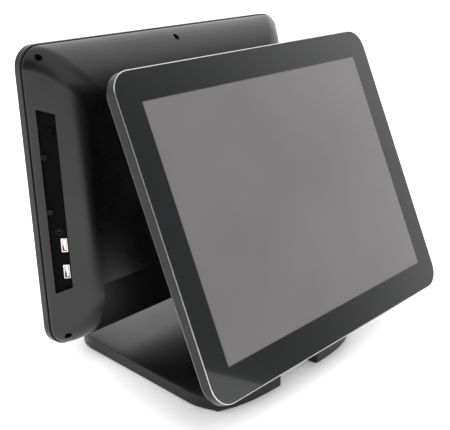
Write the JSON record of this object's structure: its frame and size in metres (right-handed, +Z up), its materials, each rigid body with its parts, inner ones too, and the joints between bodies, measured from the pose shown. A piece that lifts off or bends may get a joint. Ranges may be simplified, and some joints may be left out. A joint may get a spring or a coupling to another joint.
{
  "type": "dual-screen point-of-sale touchscreen terminal",
  "caption": "Checkout terminal: an operator touch screen and a same-size customer screen, back to back on friction tilt hinges over a low weighted base.",
  "frame": {"origin": "on the counter, under the middle of the whole outline, with both screens as they stand at rest", "axes": "+X along the screens' long side, +Y from the operator to the customer, +Z up"},
  "size_m": [0.356, 0.2878, 0.3287],
  "materials": {
    "shell": "fine satin texture",
    "frame": "satin grey",
    "glass": "black printed touch glass, gloss",
    "panel": "satin",
    "steel": "bare sheet",
    "black_steel": "black powder coat",
    "screw_metal": "zinc",
    "bright_metal": "bright nickel",
    "heatsink_metal": "extruded",
    "board": "solder mask",
    "port_plastic": "satin",
    "rubber": "matt"
  },
  "bodies": {
    "base": {"base_shell": "shell", "base_plate": "black_steel", "ballast_plate": "steel", "neck_bracket": "black_steel", "neck_cover": "shell", "front_hinge_pin": "screw_metal", "rear_hinge_pin": "screw_metal", "front_hinge_nut_left": "screw_metal", "front_hinge_nut_right": "screw_metal", "rear_hinge_nut_left": "screw_metal", "rear_hinge_nut_right": "screw_metal", "foot_front_left": "rubber", "foot_front_right": "rubber", "foot_rear_left": "rubber", "foot_rear_right": "rubber", "plate_screw_front_left": "screw_metal", "plate_screw_front_right": "screw_metal", "plate_screw_rear_left": "screw_metal", "plate_screw_rear_right": "screw_metal"},
    "front_unit": {"front_bezel_frame": "frame", "front_cover_glass": "glass", "front_lcd_panel": "panel", "front_chassis_plate": "steel", "front_main_board": "board", "front_back_shell": "shell", "front_io_plate": "black_steel", "front_usb_port_upper": "bright_metal", "front_usb_port_lower": "bright_metal", "front_round_jack": "port_plastic", "front_io_screw_upper": "screw_metal", "front_io_screw_lower": "screw_metal", "front_hinge_plate": "black_steel", "front_port_plate": "black_steel", "front_dc_inlet": "port_plastic", "front_serial_port": "bright_metal", "front_lan_port": "bright_metal", "front_heatsink": "heatsink_metal", "front_storage_drive": "steel"},
    "front_button": {"front_power_button": "port_plastic"},
    "rear_unit": {"rear_bezel_frame": "frame", "rear_cover_glass": "glass", "rear_lcd_panel": "panel", "rear_chassis_plate": "steel", "rear_main_board": "board", "rear_back_shell": "shell", "rear_io_plate": "black_steel", "rear_usb_port_upper": "bright_metal", "rear_usb_port_lower": "bright_metal", "rear_round_jack": "port_plastic", "rear_io_screw_upper": "screw_metal", "rear_io_screw_lower": "screw_metal", "rear_hinge_plate": "black_steel", "rear_port_plate": "black_steel", "rear_dc_inlet": "port_plastic", "rear_serial_port": "bright_metal"},
    "rear_button": {"rear_power_button": "port_plastic"}
  },
  "joints": [
    {"name": "front_tilt", "type": "hinge", "parent": "base", "child": "front_unit", "pos_m": [0, -0.04711, 0.122], "axis": [1, 0, 0], "range_deg": [-8, 19]},
    {"name": "rear_tilt", "type": "hinge", "parent": "base", "child": "rear_unit", "pos_m": [0, 0.02189, 0.1445], "axis": [-1, 0, 0], "range_deg": [-6, 12]},
    {"name": "front_power_press", "type": "slide", "parent": "front_unit", "child": "front_button", "axis": [-0.7071, -0.646, 0.2876], "range_m": [0, 0.0012], "stiffness_N_per_m": 600},
    {"name": "rear_power_press", "type": "slide", "parent": "rear_unit", "child": "rear_button", "axis": [0.7071, 0.7056, -0.0456], "range_m": [0, 0.0012], "stiffness_N_per_m": 600}
  ]
}
